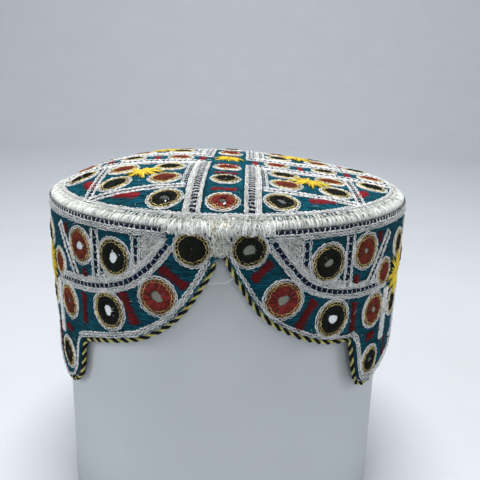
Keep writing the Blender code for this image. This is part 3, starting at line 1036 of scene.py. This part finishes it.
def make_white_fill(white):
    # The pale satin's greyer thread and fibres are the white yarn with painted shade.
    ash = Threads("band_pale_satin", band_at, "ash", "white")
    rounds = [(a - CAP_GIRTH if a > CAP_GIRTH / 2 else a, h, r) for a, h, r in band_rounds()]

    def inside(along, height):
        return white_corner(along, height) & clear_of(along, height, rounds)

    left, right = ((-94.0, -36.0), (-PALE_START, -3.0)), ((PALE_START, -36.0), (PALE_END, -3.0))
    for (low, high), slant in ((left, 38.0), (right, -38.0)):
        fill(ash, "ash", inside, low, high, slant, spacing=0.72, longest=5.0, out=0.36)
    tries = 1500
    sides = rng.choice((-1, 1), tries)
    along, height = scatter(tries, (PALE_START, -32.0), (60.0, -3.0))
    spots = np.stack((along * sides, height))
    spots = spots[:, inside(*spots)]
    strays(ash, "ash", *spots[:, ::2], 2.8, 0.75, 0.22, curl=2.6)
    strays(ash, "white", *spots[:, 1::2], 2.8, 0.85, 0.2, curl=2.6)
    ash.make()
    for top, high, foot, low in WHITE_COLUMNS:
        for distance in COLUMN_CHAINS:
            chain(white, beside(straight((top, high), (foot, low)), distance), width=1.5)


# Lines along the crown's cross: distance of the dashes from its middle, of the chains from the
# dashes, and of the two edges of the white ground from its middle. Then the distances of the inner
# and outer edges of the squares between its arms, and the corners of a box round the crown
STRIP_DASH = 11.9
STRIP_CHAINS = (-2.5, 2.5, 3.6)
STRIP_WHITE = (8.9, 16.0)
SQUARE_EDGES = (17.2, 60.0)
CROWN_BOX = ((-CROWN_RADIUS, -CROWN_RADIUS), (CROWN_RADIUS, CROWN_RADIUS))
# Red bars on the crown. Beyond each square's outer corners: x and y of both ends. Along each arm,
# between its rosettes: distance from the middle, and half length
CORNER_BONE = ((36.5, 66.0), (48.5, 60.5))
ARM_BONES = (63.2, 38.0, 14.0)
ARM_BONE_HALF = 5.5


def in_white_strips(x, y):
    """The white along the crown's cross."""
    x, y = np.abs(x), np.abs(y)
    inner, outer = STRIP_WHITE
    return ((x > inner) & (x < outer) & (y > inner)) | ((y > inner) & (y < outer) & (x > inner))


def crown_rounds():
    rounds = [(x, y, radius) for node, thread, x, y, radius in crown_rosettes()]
    for side, end in CORNERS:
        x, y = side * SQUARE_CENTRE, end * SQUARE_CENTRE
        rounds += [(x + right, y + up, CROWN_LOBE_RADIUS) for right, up in CROWN_LOBES]
    return rounds


def make_crown_lines():
    white = Threads("crown_white_stitches", crown_at, "white")
    navy = Threads("crown_navy_stitches", crown_at, "navy", "white")
    red = Threads("crown_red_stitches", crown_at, "crimson")
    reach = math.sqrt(CROWN_RADIUS**2 - STRIP_DASH**2) - 1.5
    for across, way in CORNERS:
        for flip in (False, True):
            ends = [(across * STRIP_DASH, way * STRIP_DASH), (across * STRIP_DASH, way * reach)]
            line = straight(*(p[::-1] if flip else p for p in ends))
            dashes(navy, line, width=2.9, length=2.0, gap=0.8, out=0.95)
            for distance in STRIP_CHAINS:
                handed = distance * across * way * (-1 if flip else 1)
                chain(white, beside(line, -handed), width=1.5, out=0.8)
    inner, outer = SQUARE_EDGES
    corners = [(inner, inner), (outer, inner), (outer, outer), (inner, outer), (inner, inner)]
    for side, end in CORNERS:
        for start, stop in zip(corners, corners[1:]):
            line = straight(*((side * x, end * y) for x, y in (start, stop)))
            bordered(white, navy, line, spread=1.5, width=1.5, dash=1.0)
    for side, end in CORNERS:
        (x, y), (far_x, far_y) = CORNER_BONE
        bone(red, (side * x, end * y), (side * far_x, end * far_y), 2.6, 2.6)
        bone(red, (side * y, end * x), (side * far_y, end * far_x), 2.6, 2.6)
    for x, y in ARMS.values():
        for distance in ARM_BONES:
            middle, half = np.array((x, y)) * distance, np.array((y, x)) * ARM_BONE_HALF
            bone(red, middle - half, middle + half, 2.4, 1.5)
    chain(white, ring_line(0.0, 0.0, CROWN_RADIUS - 0.4, sides=120), width=2.0, base=0.5)
    rounds = crown_rounds()

    def across_strips(x, y):
        inside = in_white_strips(x, y) & (np.hypot(x, y) < CROWN_RADIUS - 1.0)
        return inside & (np.abs(x) > np.abs(y)) & clear_of(x, y, rounds)

    def ahead_strips(x, y):
        return across_strips(y, x)

    for inside, slant in ((across_strips, 3.0), (ahead_strips, 87.0)):
        fill(white, "white", inside, *CROWN_BOX, slant, spacing=0.55, out=0.45)
    white.make()
    navy.make()
    red.make()


# Cloth


def add_sheet(name, outer, inner, wraps, material):
    """A closed sheet from two grids of points, its outer and its inner face."""
    rows, columns = outer.shape[:2]
    number = numbered(rows, columns, 0, int(wraps))
    front = grid_faces(number)
    back = front[:, ::-1] + rows * columns
    edges = [number[0, ::-1], number[-1]]
    if not wraps:
        edges += [number[:, 0], number[::-1, -1]]
    rims = []
    for edge in edges:
        shift = edge + rows * columns
        rims.append(np.stack((edge[:-1], edge[1:], shift[1:], shift[:-1]), -1))
    faces = np.concatenate([front, back] + rims)
    points = to_world(np.concatenate((outer.reshape(-1, 3), inner.reshape(-1, 3))))
    return smooth_solid(name, points, faces.tolist(), material)


def make_band_cloth(material):
    rows, inset, closest = 13, 0.4, 0.2
    edge = beside(HEM, CORD_RADIUS + 0.3)
    edge = edge[(edge[:, 0] > inset + 0.5) & (edge[:, 0] < CAP_GIRTH - inset - 0.5)]
    keep = np.concatenate(([True], np.diff(np.maximum.accumulate(edge[:, 0])) > closest))
    first, last = (inset, NOTCH_TOP_RIGHT), (CAP_GIRTH - inset, NOTCH_TOP_LEFT)
    edge = np.concatenate(([first], edge[keep], [last]))
    share = np.linspace(1.0, 0.0, rows)[:, None]
    along = np.broadcast_to(edge[:, 0], (rows, len(edge)))
    height = BAND_TOP + (edge[:, 1] - BAND_TOP) * share
    faces = [band_at(along, height, out + 0 * height) for out in (0.0, -BAND_CLOTH)]
    piece = add_sheet("band_cloth", *faces, False, material)
    settle(piece, "teal_cloth", "side_band")


def make_crown_cloth(material):
    rings, sides = 26, 120
    radius = np.linspace(0.004, 1.0, rings)[:, None] * CROWN_RADIUS
    angle = 2 * math.pi * np.arange(sides) / sides
    x, y = radius[::-1] * np.cos(angle), radius[::-1] * np.sin(angle)
    faces = [crown_at(x, y, out + 0 * x) for out in (0.0, -CROWN_CLOTH)]
    piece = add_sheet("crown_cloth", *faces, True, material)
    settle(piece, "teal_cloth", "crown_panel")


# Layers of the roll's stitches: spacing, foot, head below the roll's upper edge, lift, thread. The greyer
# thread of the first two layers is the white yarn with painted shade.
ROLL_LAYERS = (
    (0.72, 0.0, 2.3, 0.1, "ash"),
    (0.86, 3.0, -0.1, 0.16, "ash"),
    (1.40, 0.1, 3.0, 0.25, "white"),
)
# Stretches of the roll whose upper edge is toothed: start, end
TOOTHED = (
    (8.0, 62.0),
    (CAP_GIRTH - 52.0, CAP_GIRTH - 20.0),
)


def toothed(along, climb):
    """Where the upper stitches stand apart, and the ground shows between them."""
    return np.any([(along > start) & (along < end) for start, end in TOOTHED], axis=0)


def make_roll(material):
    """The white overcast seam: a soft core under stitches that wrap from the band to the crown."""
    rows, sides = 9, 200
    top = ROLL_CLIMB[-1]
    along, climb = np.meshgrid(CAP_GIRTH * np.arange(sides) / sides, np.linspace(0.0, top - 0.2, rows))
    # The core is greyed as painted shade: it shows dark in the gaps between the stitches.
    faces = [roll_at(along, climb, out + 0 * climb) for out in (0.0, -ROLL_CORE)]
    core = add_sheet("edge_roll_core", *faces, True, material)
    settle(core, "white_yarn", "crown_edge_roll")
    threads = Threads("edge_roll_stitches", seam_at, "white", "ash", "teal", "gold")
    fill(threads, "teal", toothed, (0.0, top - TOOTH), (CAP_GIRTH, top), out=0.1)
    for spacing, foot, below, lift, finish in ROLL_LAYERS:
        start = np.arange(0.0, CAP_GIRTH, spacing)
        start = start + jitter(len(start), 0.4 * spacing)
        if below > 0:
            parted = toothed(start, 0.0)
        else:
            start = start[(np.mod(start, 2.0) < 1.1) | ~toothed(start, 0.0)]
            parted = np.zeros(len(start), bool)
        count = (len(start), 1)
        share = np.linspace(0.0, 1.0, 5)
        first = foot + jitter(count, 0.25)
        last = top - below + jitter(count, 0.4)
        last = np.where(parted[:, None], np.minimum(last, top - TOOTH + 0.3), last)
        lean = (0.4 + jitter(count, 1.0)) * share
        bulge = lift + np.array((-0.35, 0.1, 0.25, 0.1, -0.35)) + jitter(count, 0.1)
        climb = first + (last - first) * share
        threads.lay(start[:, None] + lean, climb, bulge, finish, 0.34, 0.28)
    spots = scatter(1500, (0, 1.6), (CAP_GIRTH, top - 1.0))
    # Grey fibres over the roll: the white yarn with painted shade.
    strays(threads, "ash", *spots, 2.2, 0.5, 0.2, heading=math.pi / 2, spread=2.2)
    strays(threads, "white", *scatter(350, (0, 1.5), (CAP_GIRTH, top - 0.5)), 3.0, 0.6, 0.07)
    make_shag(threads)
    threads.make()


def make_shag(threads):
    """Short ends and knots at the front that hang from the seam over the tops of the apex rounds."""
    left, right = -22.0, 21.0
    shape = (230, 1)
    start = rng.uniform(left, right, shape)
    share = np.linspace(0.0, 1.0, 5)
    low = -rng.uniform(0.0, 1.9, shape) - 0.9 * (np.abs(start) < 6.0)
    high = rng.uniform(1.2, 4.6, shape)
    climb = high + (low - high) * share
    along = start + jitter(shape, 2.6) * share
    bulge = 0.75 + np.array((-0.3, 0.15, 0.35, 0.45, 0.3)) + jitter(shape, 0.25)
    # Every second strand, and the loose fibres, are the greyer white yarn, painted shade.
    for first, finish in enumerate(("white", "ash")):
        rows = [grid[first::2] for grid in (along, climb, bulge)]
        threads.lay(*rows, finish, 0.24, 0.22)
    strays(threads, "ash", *scatter(260, (left, -1.6), (right, 6.0)), 3.0, 1.1, 0.22)
    strays(threads, "gold", *scatter(9, (-5.0, -0.5), (4.0, 3.0)), 2.4, 1.5, 0.16)


def make_hem_cord():
    """Two plies, black and straw, each of three strands, twisted round each other along the hem."""
    threads = Threads("hem_cord_twist", band_at, "black", "straw")
    line = evenly(HEM, 0.7)
    centre = band_at(line[:, 0], line[:, 1], np.full(len(line), -BAND_CLOTH / 2))
    outward = unit(band_at(line[:, 0], line[:, 1], np.zeros(len(line))) - centre)
    across = np.cross(unit(np.gradient(centre, axis=0)), outward)
    turn = 2 * math.pi * running_length(centre) / CORD_PITCH
    turn = turn + 0.5 * np.sin(turn / 3.7) + 0.4 * np.sin(turn / 9.1)

    def swing(angle, distance):
        return distance * (outward * np.cos(angle)[:, None] + across * np.sin(angle)[:, None])

    for ply, (finish, size) in enumerate(CORD_PLIES):
        middle = centre + swing(turn + math.pi * ply, PLY_REACH)
        for strand in range(3):
            path = middle + swing(STRAND_TURNS * turn + 2 * math.pi * strand / 3, STRAND_REACH)
            threads.tubes(path[None], outward[None], finish, size, size, sides=5)
    threads.make("hem_cord", slot="hem_twist")


# Bar tack over the notch: number of wraps, height of the lowest and of the highest, half width
TACK_WRAPS = 44
TACK_FOOT = -9.6
TACK_TOP = -0.6
TACK_HALF = 3.6


def make_bar_tack():
    """Wraps of cream thread over the notch, narrower toward their rounded foot."""
    threads = Threads("bar_tack_stitches", band_at, "cream", "gold")
    shape = (TACK_WRAPS, 1)
    height = np.linspace(TACK_FOOT, TACK_TOP, TACK_WRAPS)[:, None] + jitter(shape, 0.2)
    half = TACK_HALF * np.sqrt(np.clip((height + 10.4) / 2.6, 0.15, 1.0)) * (1 + jitter(shape, 0.12))
    along = 0.1 + half * np.array((-1.0, -0.5, 0.0, 0.5, 1.0)) + jitter(shape, 0.3)
    rise = 0.7 + np.array((-0.4, 0.7, 1.0, 0.7, -0.4)) + jitter(shape, 0.4)
    threads.lay(along, height + jitter((TACK_WRAPS, 5), 0.25), rise, "cream", 0.33, 0.45)
    spots = scatter(60, (-3.2, -8.8), (3.2, -1.0))
    strays(threads, "cream", *spots, 3.6, 2.2, 0.2, heading=math.pi / 2, spread=1.6)
    strays(threads, "gold", *scatter(10, (-3.8, -9.0), (3.8, -6.0)), 2.6, 2.0, 0.16)
    threads.make("front_bar_tack")


# Loose thread across the notch: along, height
LOOSE_THREAD = (
    (-6.2, -21.4),
    (-4.0, -22.3),
    (-1.0, -21.7),
    (1.5, -21.9),
    (3.6, -20.8),
    (5.8, -19.2),
)


def make_strays():
    """Fuzz of the white yarn over the band and the crown, and the loose thread across the notch."""
    threads = Threads("stray_fibres", band_at, "white")
    line = smooth_line(LOOSE_THREAD, 4)
    threads.lay(line[None, :, 0], line[None, :, 1], -1.2, "white", 0.16, 0.16, sides=5)
    count = 170
    along = rng.uniform(0, CAP_GIRTH, count)
    height = hem_height(along) * rng.uniform(0.05, 0.93, count)
    strays(threads, "white", along, height, 2.4, 1.0, 0.05)
    threads.surface = crown_at
    angle, distance = rng.uniform(0, 2 * math.pi, 160), CROWN_RADIUS * np.sqrt(rng.random(160))
    strays(threads, "white", distance * np.cos(angle), distance * np.sin(angle), 2.2, 1.0, 0.05)
    threads.make()


def turned_shape(profile, sides):
    """Points of a round shape, a ring for each radius and height of its profile."""
    angle = 2 * math.pi * np.arange(sides) / sides
    rings = [np.stack((r * np.cos(angle), r * np.sin(angle), np.full(sides, z)), -1) for r, z in profile]
    return np.concatenate(rings)


def make_stand():
    inner, edge = STAND_RADIUS - STAND_WALL, STAND_EDGE
    profile = [(inner, edge), (inner + edge, 0), (STAND_RADIUS - edge, 0), (STAND_RADIUS, edge)]
    profile += [(STAND_RADIUS, STAND_HEIGHT * share) for share in (0.25, 0.5, 0.75)]
    profile += [(STAND_RADIUS, STAND_HEIGHT - edge), (STAND_RADIUS - edge, STAND_HEIGHT)]
    profile += [(inner + edge, STAND_HEIGHT), (inner, STAND_HEIGHT - edge)]
    sides = 160
    points = (turned_shape(profile, sides) + (STAND_OFFSET_X, 0.0, 0.0)) * MM
    faces = grid_faces(numbered(len(profile), sides, 1, 1))
    # The card's grey is painted shade: the white tube is darkened as if it stood in the cap's shade. Its
    # faint mottle is its own.
    card = card_material("stand_card_painted_shade", (170, 175, 179), (188, 193, 197), 0.6)
    stand = smooth_solid("stand_tube", points, faces.tolist(), card)
    stand.data.set_sharp_from_angle(angle=math.radians(50))
    settle(stand, "stand_white", "display_stand")


# Stage, lights and camera


# Backdrop, in metres: a round floor that curves up into a wall, with rings of points from its hub
STAGE_HUB = 0.4
STAGE_RADIUS = 2.4
STAGE_BEND = 0.9
STAGE_TOP = 2.6


def make_stage():
    flat = STAGE_RADIUS - STAGE_BEND
    profile = [(STAGE_HUB, 0.0), (flat, 0.0)]
    steps = 12
    for step in range(1, steps + 1):
        angle = math.pi / 2 * step / steps
        profile.append((flat + STAGE_BEND * math.sin(angle), STAGE_BEND * (1 - math.cos(angle))))
    profile.append((STAGE_RADIUS, STAGE_TOP))
    sides = 96
    number = numbered(len(profile), sides, 0, 1)
    faces = [number[0, :-1].tolist()] + grid_faces(number)[:, (0, 3, 2, 1)].tolist()
    paper = card_material("studio_paper", (206, 210, 216), (214, 218, 224), 0.85)
    smooth_solid("studio_floor", turned_shape(profile, sides), faces, paper)


# Name, place in metres, place that it faces, size in metres, watts, colour
LIGHTS = (
    ("overhead", (0.0, -0.10, 1.1), (0.0, -0.02, 0.12), 0.45, 10.6, (1.0, 0.995, 0.98)),
    ("front", (0.1, -1.1, 0.75), (0.0, 0.0, 0.1), 0.5, 3.2, (1.0, 0.995, 0.98)),
    ("left", (-0.9, -0.35, 0.6), (-0.3, -0.2, 0.0), 0.5, 3.8, (0.97, 0.99, 1.0)),
    ("right", (0.9, -0.3, 0.6), (0.3, -0.2, 0.0), 0.5, 2.4, (0.97, 0.99, 1.0)),
    ("backdrop", (0.0, 0.8, 1.6), (0.1, 2.4, 0.6), 0.8, 14.5, (0.97, 0.99, 1.0)),
)
# Faint light from all sides
AIR_COLOUR = (0.96, 0.98, 1.0, 1.0)
AIR_STRENGTH = 0.12


def make_lights():
    for name, place, target, size, power, shade in LIGHTS:
        data = bpy.data.lights.new(name, "AREA")
        data.shape = "DISK"
        data.size = size
        data.energy = power
        data.color = shade
        light = put(name, data)
        light.location = place
        aim = Vector(target) - Vector(place)
        light.rotation_euler = aim.to_track_quat("-Z", "Y").to_euler()
    world = bpy.data.worlds.new("studio_air")
    world.use_nodes = True
    background = world.node_tree.nodes["Background"]
    background.inputs["Color"].default_value = AIR_COLOUR
    background.inputs["Strength"].default_value = AIR_STRENGTH
    bpy.context.scene.world = world
    bpy.context.scene.view_settings.view_transform = "Standard"


# Camera: place in metres, angles in degrees, focal length and sensor width in millimetres
CAMERA_PLACE = (0.0, -0.315, 0.2242)
CAMERA_DOWN = 15.79
CAMERA_YAW = 1.233
CAMERA_ROLL = -1.377
CAMERA_LENS = 44.52
CAMERA_SENSOR = 36.0


def make_camera():
    data = bpy.data.cameras.new("camera")
    data.lens = CAMERA_LENS
    data.sensor_width = CAMERA_SENSOR
    data.clip_start = 0.01
    camera = put("camera", data)
    down, yaw, roll = (math.radians(a) for a in (CAMERA_DOWN, CAMERA_YAW, CAMERA_ROLL))
    ahead = Vector((math.sin(yaw) * math.cos(down), math.cos(yaw) * math.cos(down), -math.sin(down)))
    level = Vector((math.cos(yaw), -math.sin(yaw), 0.0))
    above = level.cross(ahead)
    right = math.cos(roll) * level - math.sin(roll) * above
    up = math.cos(roll) * above + math.sin(roll) * level
    turn = Matrix((right, up, -ahead)).transposed().to_4x4()
    camera.matrix_world = Matrix.Translation(CAMERA_PLACE) @ turn
    bpy.context.scene.camera = camera


def main():
    make_camera()
    make_stage()
    make_lights()
    ground = cloth_material("teal_ground", (4, 46, 60), (8, 72, 88))
    make_band_cloth(ground)
    make_crown_cloth(ground)
    # The roll's core cotton is grey as painted shade between the stitches.
    make_roll(cloth_material("roll_cotton_painted_shade", (146, 149, 143), (192, 194, 187)))
    make_band_ground()
    make_crown_ground()
    make_band_lines()
    make_crown_lines()
    make_rosettes()
    make_medallions()
    make_hem_cord()
    make_bar_tack()
    make_strays()
    make_stand()


main()
